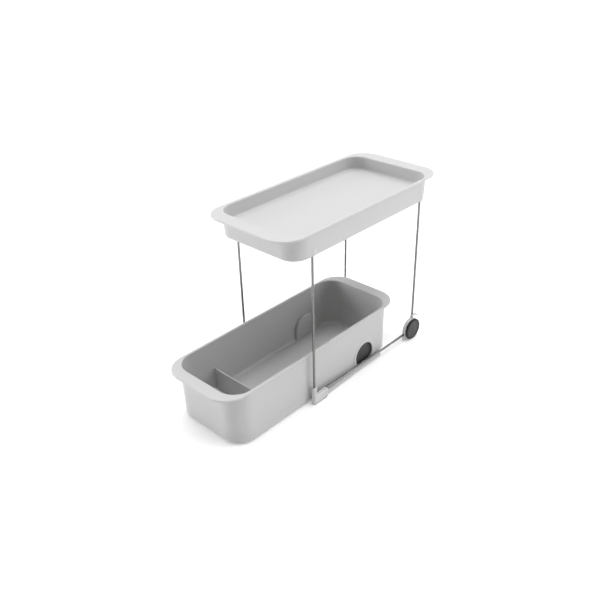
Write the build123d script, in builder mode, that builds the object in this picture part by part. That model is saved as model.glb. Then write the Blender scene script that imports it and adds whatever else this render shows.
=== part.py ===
from build123d import *
import os
from math import radians, tan

# A two-tier caddy on wheels: a shallow tray on four steel posts, over a deep
# drawer that rolls forward between two side frames.
# +Z up, the drawer pulls out towards -Y, +X is the right-hand side.

# --- overall sizes, mm ---
overall_height = 350.0
tray_width = 199.0
tray_length = 433.0
drawer_width = 168.0
drawer_length = 466.0
drawer_height = 108.5
drawer_pull = 115.0
level_tolerance = 0.01

# --- top tray ---
tray_rim_radius = 40.5
tray_lip_thickness = 4.0
tray_lip_edge_round = 1.7
tray_body_width = 191.8
tray_body_length = 381.8
tray_body_radius = 35.0
tray_body_height = 47.5
tray_body_draft = 2.5
tray_base_round = 5.0
tray_opening_width = 185.6
tray_opening_length = 375.0
tray_opening_radius = 32.0
tray_opening_draft = 2.0
tray_inside_depth = 28.0
tray_inside_round = 4.0
tray_floor = 2.6
tray_skirt = 3.0
tray_mouth_round = 1.2

# --- posts, rails and their sockets ---
rod_radius = 2.2
socket_clearance = 0.05
end_clearance = 0.3
post_x = 90.0
front_post_reach = 144.5
rear_post_reach = 159.0
tray_boss_radius = 5.0
rail_height = 15.8

# --- front feet ---
foot_radius = 5.0
foot_height = 37.0
foot_pad_thickness = 2.0
foot_socket_floor = 22.0
arm_inner_x = 86.9
arm_outer_x = 94.8
arm_top = 19.4
arm_reach = 32.5
arm_edge_round = 1.2
rail_socket_depth = 18.0

# --- rear wheels and their housings ---
rear_wheel_radius = 22.4
rear_wheel_reach = 154.5
rear_wheel_width = 5.0
housing_radius = 23.2
housing_inner_x = 86.7
housing_outer_x = 93.4
housing_base = 1.6
housing_boss_radius = 3.35
housing_boss_top = 54.5
post_socket_depth = 15.0
toe_front = 23.4
toe_top = 20.6
tail_end = 21.0
tail_top = 53.0
tail_drop = 5.0
tail_thickness = 2.2

# --- wheel build ---
axle_radius = 2.5
axle_fit = 0.02
running_clearance = 0.05
side_clearance = 0.5
tyre_depth = 3.4
tyre_edge_round = 0.9
hub_recess_radius = 5.2
hub_recess_depth = 1.8
axle_head_radius = 4.4
axle_head_thickness = 1.3
face_dish_depth = 0.6
face_dish_margin = 3.0

# --- drawer ---
drawer_rim_radius = 43.5
drawer_lip_thickness = 3.5
drawer_lip_edge_round = 1.5
drawer_base = 3.0
drawer_body_width = 166.4
drawer_body_length = 425.0
drawer_body_radius = 39.5
drawer_body_draft = 0.9
drawer_base_round = 7.0
drawer_opening_width = 157.6
drawer_opening_length = 418.5
drawer_opening_radius = 36.0
drawer_opening_draft = 1.5
drawer_floor = 3.5
drawer_inside_round = 5.0
drawer_mouth_round = 1.2

# --- drawer wheels, wells and windows ---
drawer_wheel_radius = 26.6
drawer_wheel_reach = 126.0
drawer_wheel_width = 6.2
drawer_wheel_face_x = 79.4
well_gap = 1.0
well_wall = 2.6
window_radius = 25.2
window_sill = 6.0
window_ring_width = 7.0
window_ring_height = 0.8

# --- drawer runners, glides and divider ---
runner_outer_x = 86.4
runner_base = 1.0
runner_top = 12.4
runner_stop_gap = 0.3
runner_rear = 174.0
runner_edge_round = 1.4
runner_seat_gap = 0.02
glide_radius = 9.0
glide_x = 48.0
glide_reach = 165.0
glide_edge_round = 1.0
divider_reach = 121.5
divider_top = 52.0
divider_thickness = 2.4
divider_gap = 0.3
divider_edge_round = 0.8
rib_height = 40.0
rib_width = 2.0
rib_depth = 1.6

# --- places worked out from the sizes above ---
front_reach = drawer_pull + drawer_length / 2
tray_y = (front_reach - tray_length / 2) / 2
drawer_y = tray_y - drawer_pull
front_post_y = tray_y - front_post_reach
rear_post_y = tray_y + rear_post_reach
tray_base = overall_height - tray_body_height
lip_underside = overall_height - tray_lip_thickness
tray_floor_top = overall_height - tray_inside_depth
tray_floor_under = tray_floor_top - tray_floor
post_top = tray_floor_under - end_clearance
tray_draft_step = tray_body_height * tan(radians(tray_body_draft))
rear_wheel_y = tray_y + rear_wheel_reach
drawer_wheel_y = drawer_y + drawer_wheel_reach
drawer_lip_under = drawer_height - drawer_lip_thickness
drawer_floor_top = drawer_base + drawer_floor
wheel_inner_x = drawer_wheel_face_x - drawer_wheel_width
well_pocket_x = wheel_inner_x - side_clearance
well_inner_x = well_pocket_x - well_wall
well_radius = drawer_wheel_radius + well_gap
divider_y = drawer_y - divider_reach
rear_hub_x = housing_outer_x + side_clearance

SIDES = (("left", -1), ("right", 1))
POSTS = (("front", front_post_y), ("rear", rear_post_y))
tray_post_places = [(x, y - tray_y) for x in (-post_x, post_x) for y in (front_post_y, rear_post_y)]

os.makedirs("parts", exist_ok=True)


def save(piece, name):
    piece.part.label = name
    export_step(piece.part, f"parts/{name}.step")


def drawer_half_width(width, draft, height):
    """Half the drawer's width at a height, for walls that lean out upwards."""
    return width / 2 - (drawer_height - height) * tan(radians(draft))


def level_faces(piece, height):
    """The piece's flat horizontal faces at a height."""
    low = height - level_tolerance
    high = height + level_tolerance
    return piece.faces().filter_by(Axis.Z).filter_by_position(Axis.Z, low, high)


def side_plane(x, y, z):
    """A plane across the cart: its x runs along +Y, its y along +Z."""
    return Plane(origin=(x, y, z), x_dir=(0, 1, 0), z_dir=(1, 0, 0))


# --- the top tray ---
with BuildPart() as top_tray:
    with BuildSketch(Plane(origin=(0, tray_y, overall_height))):
        RectangleRounded(tray_body_width, tray_body_length, tray_body_radius)
    extrude(amount=-tray_body_height, taper=tray_body_draft)
    fillet(top_tray.faces().sort_by(Axis.Z)[0].edges(), tray_base_round)
    with BuildSketch(Plane(origin=(0, tray_y, lip_underside))):
        RectangleRounded(tray_width, tray_length, tray_rim_radius)
    extrude(amount=tray_lip_thickness)
    fillet(level_faces(top_tray, overall_height).edges(), tray_lip_edge_round)
    with BuildSketch(Plane(origin=(0, tray_y, overall_height))):
        RectangleRounded(tray_opening_width, tray_opening_length, tray_opening_radius)
    extrude(amount=-tray_inside_depth, taper=tray_opening_draft, mode=Mode.SUBTRACT)
    fillet(level_faces(top_tray, tray_floor_top).edges(), tray_inside_round)
    mouth = level_faces(top_tray, overall_height).face().inner_wires()
    fillet(mouth.edges(), tray_mouth_round)
    with BuildSketch(Plane(origin=(0, tray_y, tray_base))):
        pocket_margin = 2 * (tray_draft_step + tray_skirt)
        RectangleRounded(
            tray_body_width - pocket_margin,
            tray_body_length - pocket_margin,
            tray_body_radius - pocket_margin / 2,
        )
        with Locations(tray_post_places):
            Circle(tray_boss_radius, mode=Mode.SUBTRACT)
    extrude(amount=tray_floor_under - tray_base, mode=Mode.SUBTRACT)
    with BuildSketch(Plane(origin=(0, tray_y, tray_base))):
        with Locations(tray_post_places):
            Circle(rod_radius + socket_clearance)
    extrude(amount=tray_floor_under - tray_base, mode=Mode.SUBTRACT)
save(top_tray, "top_tray")

# --- the side frames: two posts and a bottom rail on each side ---
rail_start_y = front_post_y + arm_reach - rail_socket_depth
rail_end_y = rear_wheel_y - toe_front + rail_socket_depth - end_clearance
front_post_base = foot_socket_floor + end_clearance
rear_post_base = housing_boss_top - post_socket_depth + end_clearance
for side, sign in SIDES:
    for post_name, post_y in POSTS:
        post_base = front_post_base if post_name == "front" else rear_post_base
        with BuildPart() as post:
            with BuildSketch(Plane(origin=(sign * post_x, post_y, post_base))):
                Circle(rod_radius)
            extrude(amount=post_top - post_base)
        save(post, f"{post_name}_post_{side}")
    with BuildPart() as bottom_rail:
        with BuildSketch(Plane.XZ.offset(-rail_start_y)):
            with Locations((sign * post_x, rail_height)):
                Circle(rod_radius)
        extrude(amount=-(rail_end_y - rail_start_y))
    save(bottom_rail, f"bottom_rail_{side}")

# --- the front feet, each a socket for the post with an arm for the rail ---
arm_end_y = front_post_y + arm_reach
arm_middle_x = (arm_inner_x + arm_outer_x) / 2
arm_width = arm_outer_x - arm_inner_x
for side, sign in SIDES:
    with BuildPart() as front_foot:
        with BuildSketch(Plane(origin=(sign * post_x, front_post_y, foot_pad_thickness))):
            Circle(foot_radius)
        extrude(amount=foot_height - foot_pad_thickness)
        fillet(front_foot.faces().sort_by(Axis.Z)[-1].edges(), arm_edge_round)
        with BuildSketch(Plane(origin=(sign * arm_middle_x, front_post_y, foot_pad_thickness))):
            with Locations((0, arm_reach / 2)):
                Rectangle(arm_width, arm_reach)
        extrude(amount=arm_top - foot_pad_thickness)
        arm_rear = front_foot.faces().sort_by(Axis.Y)[-1]
        fillet(arm_rear.edges(), arm_edge_round)
        with BuildSketch(Plane(origin=(sign * post_x, front_post_y, foot_height))):
            Circle(rod_radius + socket_clearance)
        extrude(amount=-(foot_height - foot_socket_floor), mode=Mode.SUBTRACT)
        with BuildSketch(Plane.XZ.offset(-arm_end_y)):
            with Locations((sign * post_x, rail_height)):
                Circle(rod_radius + socket_clearance)
        extrude(amount=rail_socket_depth + end_clearance, mode=Mode.SUBTRACT)
    save(front_foot, f"front_foot_{side}")

    with BuildPart() as foot_pad:
        with BuildSketch(Plane(origin=(sign * post_x, front_post_y, 0))):
            Circle(foot_radius - arm_edge_round)
            with Locations((sign * (arm_middle_x - post_x), arm_reach / 2)):
                Rectangle(arm_width - 2 * arm_edge_round, arm_reach - 2 * arm_edge_round)
        extrude(amount=foot_pad_thickness)
    save(foot_pad, f"foot_pad_{side}")

# --- the rear wheel housings ---
housing_width = housing_outer_x - housing_inner_x
for side, sign in SIDES:
    inner_plane = side_plane(sign * housing_inner_x, rear_wheel_y, rear_wheel_radius)
    with BuildPart() as wheel_housing:
        with BuildSketch(inner_plane):
            Circle(housing_radius)
            with Locations((-toe_front / 2, (housing_base + toe_top) / 2 - rear_wheel_radius)):
                Rectangle(toe_front, toe_top - housing_base)
            with BuildLine():
                tail_start = rear_post_y - rear_wheel_y
                tail_height = tail_top - rear_wheel_radius
                Polyline(
                    (tail_start, tail_height),
                    (tail_end, tail_height - tail_drop),
                    (tail_end, tail_height - tail_drop - tail_thickness),
                    (tail_start, tail_height - tail_thickness),
                    close=True,
                )
            make_face()
            with Locations((0, housing_base - rear_wheel_radius - housing_radius)):
                Rectangle(4 * housing_radius, 2 * housing_radius, mode=Mode.SUBTRACT)
        extrude(amount=sign * housing_width)
        with BuildSketch(Plane(origin=(sign * post_x, rear_post_y, rear_wheel_radius))):
            Circle(housing_boss_radius)
        extrude(amount=housing_boss_top - rear_wheel_radius)
        with BuildSketch(Plane(origin=(sign * post_x, rear_post_y, housing_boss_top))):
            Circle(rod_radius + socket_clearance)
        extrude(amount=-post_socket_depth, mode=Mode.SUBTRACT)
        with BuildSketch(Plane.XZ.offset(-(rear_wheel_y - toe_front))):
            with Locations((sign * post_x, rail_height)):
                Circle(rod_radius + socket_clearance)
        extrude(amount=-rail_socket_depth, mode=Mode.SUBTRACT)
        with BuildSketch(inner_plane):
            Circle(axle_radius + axle_fit)
        extrude(amount=sign * housing_width, mode=Mode.SUBTRACT)
    save(wheel_housing, f"rear_wheel_housing_{side}")


# --- wheels: a disc, a tyre round it and the axle pin that carries both ---
def make_wheel(group, side, sign, inner_x, width, radius, y, pin_inner_x):
    """One wheel standing on the floor, whose outer face looks away from the cart."""
    rim_radius = radius - tyre_depth
    face_x = inner_x + width
    with BuildPart() as disc:
        with BuildSketch(side_plane(sign * inner_x, y, radius)):
            Circle(rim_radius)
            Circle(axle_radius + running_clearance, mode=Mode.SUBTRACT)
        extrude(amount=sign * width)
        with BuildSketch(side_plane(sign * face_x, y, radius)):
            Circle(rim_radius - face_dish_margin)
        extrude(amount=-sign * face_dish_depth, mode=Mode.SUBTRACT)
        with BuildSketch(side_plane(sign * face_x, y, radius)):
            Circle(hub_recess_radius)
        extrude(amount=-sign * (face_dish_depth + hub_recess_depth), mode=Mode.SUBTRACT)
    save(disc, f"{group}_wheel_disc_{side}")

    with BuildPart() as tyre:
        with BuildSketch(side_plane(sign * inner_x, y, radius)):
            Circle(radius)
            Circle(rim_radius, mode=Mode.SUBTRACT)
        extrude(amount=sign * width)
        tread_edges = tyre.edges().filter_by(GeomType.CIRCLE).group_by(SortBy.RADIUS)[-1]
        fillet(tread_edges, tyre_edge_round)
    save(tyre, f"{group}_tyre_{side}")

    head_x = face_x - face_dish_depth - hub_recess_depth + running_clearance
    with BuildPart() as axle:
        with BuildSketch(side_plane(sign * pin_inner_x, y, radius)):
            Circle(axle_radius)
        extrude(amount=sign * (head_x - pin_inner_x))
        with BuildSketch(side_plane(sign * head_x, y, radius)):
            Circle(axle_head_radius)
        extrude(amount=sign * axle_head_thickness)
        head_face = axle.faces().sort_by(Axis.X)[-1 if sign > 0 else 0]
        fillet(head_face.edges(), axle_head_thickness / 2)
    save(axle, f"{group}_axle_{side}")


for side, sign in SIDES:
    make_wheel(
        "rear", side, sign, rear_hub_x, rear_wheel_width,
        rear_wheel_radius, rear_wheel_y, housing_inner_x,
    )
    make_wheel(
        "drawer", side, sign, wheel_inner_x, drawer_wheel_width,
        drawer_wheel_radius, drawer_wheel_y, well_inner_x,
    )

# --- the drawer ---
body_height = drawer_height - drawer_base
with BuildPart() as drawer_bin:
    with BuildSketch(Plane(origin=(0, drawer_y, drawer_height))):
        RectangleRounded(drawer_body_width, drawer_body_length, drawer_body_radius)
    extrude(amount=-body_height, taper=drawer_body_draft)
    fillet(drawer_bin.faces().sort_by(Axis.Z)[0].edges(), drawer_base_round)
    with BuildSketch(Plane(origin=(0, drawer_y, drawer_lip_under))):
        RectangleRounded(drawer_width, drawer_length, drawer_rim_radius)
    extrude(amount=drawer_lip_thickness)
    fillet(level_faces(drawer_bin, drawer_height).edges(), drawer_lip_edge_round)
    with BuildSketch(Plane(origin=(0, drawer_y, drawer_height))):
        RectangleRounded(drawer_opening_width, drawer_opening_length, drawer_opening_radius)
    extrude(
        amount=-(drawer_height - drawer_floor_top), taper=drawer_opening_draft, mode=Mode.SUBTRACT
    )
    fillet(level_faces(drawer_bin, drawer_floor_top).edges(), drawer_inside_round)
    mouth = level_faces(drawer_bin, drawer_height).face().inner_wires()
    fillet(mouth.edges(), drawer_mouth_round)
    wall_x = drawer_half_width(drawer_body_width, drawer_body_draft, drawer_wheel_radius)
    for sign in (-1, 1):
        # the wheel well, a round-topped box on the inside of the wall
        with BuildSketch(side_plane(sign * well_inner_x, drawer_wheel_y, drawer_wheel_radius)):
            Circle(well_radius + well_wall)
            with Locations((0, -drawer_wheel_radius / 2)):
                Rectangle(2 * (well_radius + well_wall), drawer_wheel_radius)
            with Locations((0, drawer_base - 2 * drawer_wheel_radius)):
                Rectangle(4 * well_radius, 2 * drawer_wheel_radius, mode=Mode.SUBTRACT)
        extrude(amount=sign * (drawer_wheel_face_x - well_inner_x))
        # the raised ring round the window, above the runner, then the window itself
        face_plane = side_plane(sign * drawer_wheel_face_x, drawer_wheel_y, drawer_wheel_radius)
        below_runner = runner_top - drawer_wheel_radius - well_radius
        with BuildSketch(face_plane):
            Circle(window_radius + window_ring_width)
            with Locations((0, below_runner)):
                Rectangle(4 * well_radius, 2 * well_radius, mode=Mode.SUBTRACT)
        extrude(amount=sign * (wall_x + window_ring_height - drawer_wheel_face_x))
        below_sill = window_sill - drawer_wheel_radius - well_radius
        with BuildSketch(face_plane):
            Circle(window_radius)
            with Locations((0, below_sill)):
                Rectangle(4 * well_radius, 2 * well_radius, mode=Mode.SUBTRACT)
        extrude(amount=sign * drawer_width, mode=Mode.SUBTRACT)
        with BuildSketch(side_plane(sign * well_pocket_x, drawer_wheel_y, drawer_wheel_radius)):
            Circle(well_radius)
            with Locations((0, -drawer_wheel_radius / 2)):
                Rectangle(2 * well_radius, drawer_wheel_radius)
        extrude(
            amount=sign * (drawer_wheel_face_x + side_clearance - well_pocket_x),
            mode=Mode.SUBTRACT,
        )
        with BuildSketch(side_plane(sign * well_inner_x, drawer_wheel_y, drawer_wheel_radius)):
            Circle(axle_radius + axle_fit)
        extrude(amount=sign * well_wall, mode=Mode.SUBTRACT)
        # two ribs on the wall hold the divider between them
        rib_x = drawer_half_width(drawer_opening_width, drawer_opening_draft, drawer_floor_top)
        rib_shift = (divider_thickness + rib_width) / 2 + divider_gap
        with BuildSketch(Plane(origin=(sign * (rib_x - rib_depth), divider_y, drawer_floor_top))):
            with Locations((0, -rib_shift), (0, rib_shift)):
                Rectangle(2 * rib_depth, rib_width)
        extrude(amount=rib_height)
save(drawer_bin, "drawer_bin")

# --- the divider, a loose plate that lifts out from between the ribs ---
divider_low_half = drawer_half_width(drawer_opening_width, drawer_opening_draft, drawer_floor_top)
divider_high_half = drawer_half_width(drawer_opening_width, drawer_opening_draft, divider_top)
divider_base = drawer_floor_top + divider_gap
with BuildPart() as drawer_divider:
    with BuildSketch(Plane.XZ.offset(-(divider_y + divider_thickness / 2))):
        with BuildLine():
            low_corner = drawer_inside_round + divider_gap
            Polyline(
                (-divider_low_half + low_corner, divider_base),
                (divider_low_half - low_corner, divider_base),
                (divider_low_half - divider_gap, divider_base + low_corner),
                (divider_high_half - divider_gap, divider_top),
                (-divider_high_half + divider_gap, divider_top),
                (-divider_low_half + divider_gap, divider_base + low_corner),
                close=True,
            )
        make_face()
    extrude(amount=divider_thickness)
    top_face = drawer_divider.faces().sort_by(Axis.Z)[-1]
    fillet(top_face.edges().filter_by(Axis.X), divider_edge_round)
save(drawer_divider, "drawer_divider")

# --- runners along the drawer's lower edges, under the rails ---
runner_wall_x = drawer_half_width(drawer_body_width, drawer_body_draft, runner_top)
runner_inner_x = runner_wall_x + runner_seat_gap
for side, sign in SIDES:
    with BuildPart() as drawer_runner:
        runner_width = runner_outer_x - runner_inner_x
        runner_middle_x = (runner_outer_x + runner_inner_x) / 2
        runner_front_y = front_post_y + foot_radius + runner_stop_gap
        runner_length = drawer_y + runner_rear - runner_front_y
        runner_y = runner_front_y + runner_length / 2
        with BuildSketch(Plane(origin=(sign * runner_middle_x, runner_y, runner_base))):
            Rectangle(runner_width, runner_length)
        extrude(amount=runner_top - runner_base)
        outer_face = drawer_runner.faces().sort_by(Axis.X)[-1 if sign > 0 else 0]
        fillet(outer_face.edges(), runner_edge_round)
    save(drawer_runner, f"drawer_runner_{side}")

    with BuildPart() as drawer_glide:
        with BuildSketch(Plane(origin=(sign * glide_x, drawer_y - glide_reach, 0))):
            Circle(glide_radius)
        extrude(amount=drawer_base)
        fillet(drawer_glide.faces().sort_by(Axis.Z)[0].edges(), glide_edge_round)
    save(drawer_glide, f"drawer_glide_{side}")
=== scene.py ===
"""Looks for a two-tier rolling caddy: detailed shells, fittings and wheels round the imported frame."""
import math
from collections import namedtuple

import bpy
import bmesh
from mathutils import Matrix, Vector


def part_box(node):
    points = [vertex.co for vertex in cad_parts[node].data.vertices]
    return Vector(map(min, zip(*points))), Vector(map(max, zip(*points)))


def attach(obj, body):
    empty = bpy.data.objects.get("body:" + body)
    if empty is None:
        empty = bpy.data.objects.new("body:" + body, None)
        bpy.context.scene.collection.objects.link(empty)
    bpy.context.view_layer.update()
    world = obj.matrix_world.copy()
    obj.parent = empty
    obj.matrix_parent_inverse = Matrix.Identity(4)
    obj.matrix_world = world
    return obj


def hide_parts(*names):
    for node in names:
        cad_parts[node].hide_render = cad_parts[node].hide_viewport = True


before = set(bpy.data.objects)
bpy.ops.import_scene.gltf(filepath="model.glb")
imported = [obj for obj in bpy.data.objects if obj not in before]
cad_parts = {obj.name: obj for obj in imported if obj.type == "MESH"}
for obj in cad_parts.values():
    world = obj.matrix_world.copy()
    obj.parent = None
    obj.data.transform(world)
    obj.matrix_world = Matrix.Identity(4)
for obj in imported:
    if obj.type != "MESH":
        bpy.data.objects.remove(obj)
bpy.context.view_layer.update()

MM = 0.001
SIDES = (("left", -1), ("right", 1))
ENDS = ("front", "rear")


# ---------------------------------------------------------------- measures from the frame, in mm
def node_box(name):
    """The node's low and high corners in millimetres."""
    low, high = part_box(name)
    return low / MM, high / MM


tray_low, tray_high = node_box("top_tray")
drawer_low, drawer_high = node_box("drawer_bin")
TRAY_Y = (tray_low.y + tray_high.y) / 2
DRAWER_Y = (drawer_low.y + drawer_high.y) / 2


def middle(low, high):
    return (low + high) / 2


def post_place(end, side):
    """A post's middle in x and y, with its low and high ends."""
    low, high = node_box(f"{end}_post_{side}")
    return middle(low, high).x, middle(low, high).y, low.z, high.z


def rail_place(side):
    """A rail's middle in x and z, with its front and rear ends."""
    low, high = node_box(f"bottom_rail_{side}")
    return middle(low, high).x, middle(low, high).z, low.y, high.y


def wheel_place(group, side):
    """A wheel's centre, radius and the x of its inner and outer faces."""
    low, high = node_box(f"{group}_tyre_{side}")
    radius = (high.z - low.z) / 2
    inner, outer = sorted((low.x, high.x), key=abs)
    return middle(low, high), radius, inner, outer


# ---------------------------------------------------------------- mesh building
SMOOTH_ANGLE = 32
DOUBLES_APART = 1e-4
NEARLY_ZERO = 1e-6


def new_piece(name, bm, smooth_angle=SMOOTH_ANGLE):
    """Turn a bmesh in millimetres into a finished object at the origin."""
    bmesh.ops.remove_doubles(bm, verts=bm.verts, dist=DOUBLES_APART)
    bmesh.ops.recalc_face_normals(bm, faces=bm.faces)
    bmesh.ops.scale(bm, vec=(MM, MM, MM), verts=bm.verts)
    mesh = bpy.data.meshes.new(name)
    bm.to_mesh(mesh)
    bm.free()
    obj = bpy.data.objects.new(name, mesh)
    bpy.context.scene.collection.objects.link(obj)
    shade(mesh, smooth_angle)
    return obj


def shade(mesh, smooth_angle):
    """Smooth shading, with edges sharper than the angle kept crisp."""
    mesh.polygons.foreach_set("use_smooth", [True] * len(mesh.polygons))
    mesh.set_sharp_from_angle(angle=math.radians(smooth_angle))
    mesh.update()


LEAST_CORNER = 0.5


def grow(shape, amount):
    """A rounded rectangle (width, length, corner radius) grown all round."""
    width, length, radius = shape
    return (width + 2 * amount, length + 2 * amount, max(radius + amount, LEAST_CORNER))


def mix(a, b, share):
    """A shape part of the way from one rounded rectangle to another."""
    return tuple(u + (v - u) * share for u, v in zip(a, b))


CORNER_STEPS = 22
SIDE_PARTS = (6, 14)
SUPPORT = 1.6
SUPPORT_SHARE = 0.2


def straight_stops(length, parts):
    """Places along a straight side: close to each end, and evenly between."""
    edge = min(SUPPORT, length * SUPPORT_SHARE)
    return [edge + (length - 2 * edge) * i / parts for i in range(parts + 1)]


def ring_points(shape, z, centre_y):
    """Points round a rounded rectangle, anticlockwise from above."""
    width, length, radius = shape
    half_x, half_y = width / 2 - radius, length / 2 - radius
    points = []
    corners = ((1, 1, 0), (-1, 1, 90), (-1, -1, 180), (1, -1, 270))
    for index, (sx, sy, start) in enumerate(corners):
        centre = Vector((sx * half_x, centre_y + sy * half_y, z))
        for step in range(CORNER_STEPS + 1):
            angle = math.radians(start + 90 * step / CORNER_STEPS)
            points.append(centre + radius * Vector((math.cos(angle), math.sin(angle), 0)))
        next_sx, next_sy, _ = corners[(index + 1) % 4]
        angle = math.radians(start + 90)
        here = points[-1]
        there = Vector((next_sx * half_x, centre_y + next_sy * half_y, z))
        there = there + radius * Vector((math.cos(angle), math.sin(angle), 0))
        run = (there - here).length
        for stop in straight_stops(run, SIDE_PARTS[index % 2]):
            points.append(here.lerp(there, stop / run))
    return points


def add_ring(bm, points):
    return [bm.verts.new(p) for p in points]


def bridge(bm, below, above):
    """Quads between two rings with the same number of points."""
    count = len(below)
    for i in range(count):
        j = (i + 1) % count
        bm.faces.new((below[i], below[j], above[j], above[i]))


def shell(rings, centre_y):
    """A closed shell through a run of rounded rectangles given as (shape, z)."""
    bm = bmesh.new()
    loops = [add_ring(bm, ring_points(shape, z, centre_y)) for shape, z in rings]
    for below, above in zip(loops, loops[1:]):
        bridge(bm, below, above)
    bm.faces.new(list(reversed(loops[0])))
    bm.faces.new(loops[-1])
    return bm


def arc(steps, start=0.0, end=90.0):
    """Angles in radians from start to end, both included."""
    return [math.radians(start + (end - start) * i / steps) for i in range(steps + 1)]


def quarter(radius, steps, start=0, end=90):
    """Pairs of insets round an edge: one less its sine, one less its cosine, times the radius."""
    return [(radius * (1 - math.sin(a)), radius * (1 - math.cos(a))) for a in arc(steps, start, end)]


def lathe_x(profile, centre, sign, steps=96):
    """Spin (distance along x, radius) points about the x axis through a centre.
    A profile that starts off the axis is closed into a ring."""
    bm = bmesh.new()
    closed_ring = profile[0][1] > NEARLY_ZERO
    loops = []
    for along, radius in profile:
        if radius < NEARLY_ZERO:
            loops.append([bm.verts.new((centre.x + sign * along, centre.y, centre.z))])
            continue
        loop = []
        for i in range(steps):
            angle = 2 * math.pi * i / steps
            loop.append(bm.verts.new((
                centre.x + sign * along,
                centre.y + radius * math.cos(angle),
                centre.z + radius * math.sin(angle),
            )))
        loops.append(loop)
    pairs = list(zip(loops, loops[1:]))
    if closed_ring:
        pairs.append((loops[-1], loops[0]))
    for a, b in pairs:
        if len(a) == 1 and len(b) == 1:
            continue
        for i in range(steps):
            j = (i + 1) % steps
            if len(a) == 1:
                bm.faces.new((a[0], b[i], b[j]))
            elif len(b) == 1:
                bm.faces.new((a[i], b[0], a[j]))
            else:
                bm.faces.new((a[i], b[i], b[j], a[j]))
    return bm


LEAST_SPREAD = 0.3


def inset_loop(outline, amount):
    """A closed 2D outline, anticlockwise, moved inwards by an amount."""
    moved = []
    count = len(outline)
    for i, (u, v) in enumerate(outline):
        before, after = outline[i - 1], outline[(i + 1) % count]
        a = Vector((u - before[0], v - before[1])).normalized()
        b = Vector((after[0] - u, after[1] - v)).normalized()
        normal = Vector((-a.y - b.y, a.x + b.x)).normalized()
        spread = max(normal.dot(Vector((-a.y, a.x))), LEAST_SPREAD)
        moved.append((u + normal.x * amount / spread, v + normal.y * amount / spread))
    return moved


def pad_solid(outline, low, high, round_low, round_high, place, steps=5):
    """A plate with rounded edges: an outline swept from low to high.
    place(u, v, w) gives the point for outline place (u, v) at height w."""
    levels = [(inset, low + rise) for inset, rise in quarter(round_low, steps)]
    levels += [(inset, high - drop) for drop, inset in quarter(round_high, steps)]
    bm = bmesh.new()
    loops = []
    for inset, height in levels:
        points = inset_loop(outline, inset) if inset > NEARLY_ZERO else outline
        loops.append([bm.verts.new(place(u, v, height)) for u, v in points])
    for below, above in zip(loops, loops[1:]):
        bridge(bm, below, above)
    bm.faces.new(list(reversed(loops[0])))
    bm.faces.new(loops[-1])
    return bm


def rounded_corners(points, steps=6):
    """An outline through (u, v, radius) corners, each corner turned into an arc."""
    outline = []
    count = len(points)
    for i, (u, v, radius) in enumerate(points):
        here = Vector((u, v))
        before = Vector(points[i - 1][:2])
        after = Vector(points[(i + 1) % count][:2])
        if radius <= 0:
            outline.append((u, v))
            continue
        to_before = (before - here).normalized()
        to_after = (after - here).normalized()
        half = to_before.angle(to_after) / 2
        reach = radius / math.tan(half)
        centre = here + (to_before + to_after).normalized() * (radius / math.sin(half))
        first = here + to_before * reach - centre
        last = here + to_after * reach - centre
        for step in range(steps + 1):
            turned = first.lerp(last, step / steps).normalized() * radius
            outline.append(tuple(centre + turned))
    return outline


ROD_STEPS = 48


def circle_outline(radius, steps=ROD_STEPS):
    return [(radius * math.cos(a), radius * math.sin(a)) for a in
            (2 * math.pi * i / steps for i in range(steps))]


def standing(x, y):
    """Where the points of a shape go when it is swept upwards at (x, y)."""
    return lambda u, v, w: Vector((x + u, y + v, w))


def lying(x, z):
    """Where the points of a shape go when it is swept along y at (x, z)."""
    return lambda u, v, w: Vector((x + u, w, z + v))


def facing_out(sign, centre):
    """Where the points of a shape seen from the side go when it is swept outwards along x."""
    return lambda u, v, w: Vector((sign * w, centre.y + u, centre.z + v))


def add(target, bm):
    """Join a closed shape to target."""
    combine(target, new_piece("added", bm), "UNION")


def cut(target, bm):
    """Cut a closed shape out of target."""
    combine(target, new_piece("cutter", bm), "DIFFERENCE")


def combine(target, tool, operation):
    """Apply a boolean to target and remove the tool object."""
    modifier = target.modifiers.new("combine", "BOOLEAN")
    modifier.operation = operation
    modifier.solver = "MANIFOLD"
    modifier.object = tool
    bpy.context.view_layer.update()
    evaluated = target.evaluated_get(bpy.context.evaluated_depsgraph_get())
    mesh = bpy.data.meshes.new_from_object(evaluated)
    target.modifiers.remove(modifier)
    old = target.data
    target.data = mesh
    mesh.name = target.name
    bpy.data.meshes.remove(old)
    bpy.data.objects.remove(tool)


STRAY_APART = 2e-6


def clean(obj, smooth_angle=SMOOTH_ANGLE):
    """Merge stray doubles after the booleans and shade again."""
    bm = bmesh.new()
    bm.from_mesh(obj.data)
    bmesh.ops.remove_doubles(bm, verts=bm.verts, dist=STRAY_APART)
    bmesh.ops.dissolve_degenerate(bm, dist=NEARLY_ZERO, edges=bm.edges)
    bm.to_mesh(obj.data)
    bm.free()
    shade(obj.data, smooth_angle)


def finish_piece(obj, body, slot, material, *nodes):
    """Give a piece its material and body, and hide the nodes it stands for. The slot is not used."""
    obj.data.materials.clear()
    obj.data.materials.append(material)
    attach(obj, body)
    if nodes:
        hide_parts(*nodes)


def paint_node(name, material):
    """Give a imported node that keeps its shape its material."""
    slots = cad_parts[name].data.materials
    slots.clear()
    slots.append(material)


# ---------------------------------------------------------------- shared effects
def new_node(tree, kind, inputs, operation=None):
    """A node with its inputs, {name or index: socket or value}, linked or set."""
    node = tree.nodes.new(kind)
    if operation is not None:
        node.operation = operation
    for key, value in inputs.items():
        if isinstance(value, bpy.types.NodeSocket):
            tree.links.new(value, node.inputs[key])
        else:
            node.inputs[key].default_value = value
    return node


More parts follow.
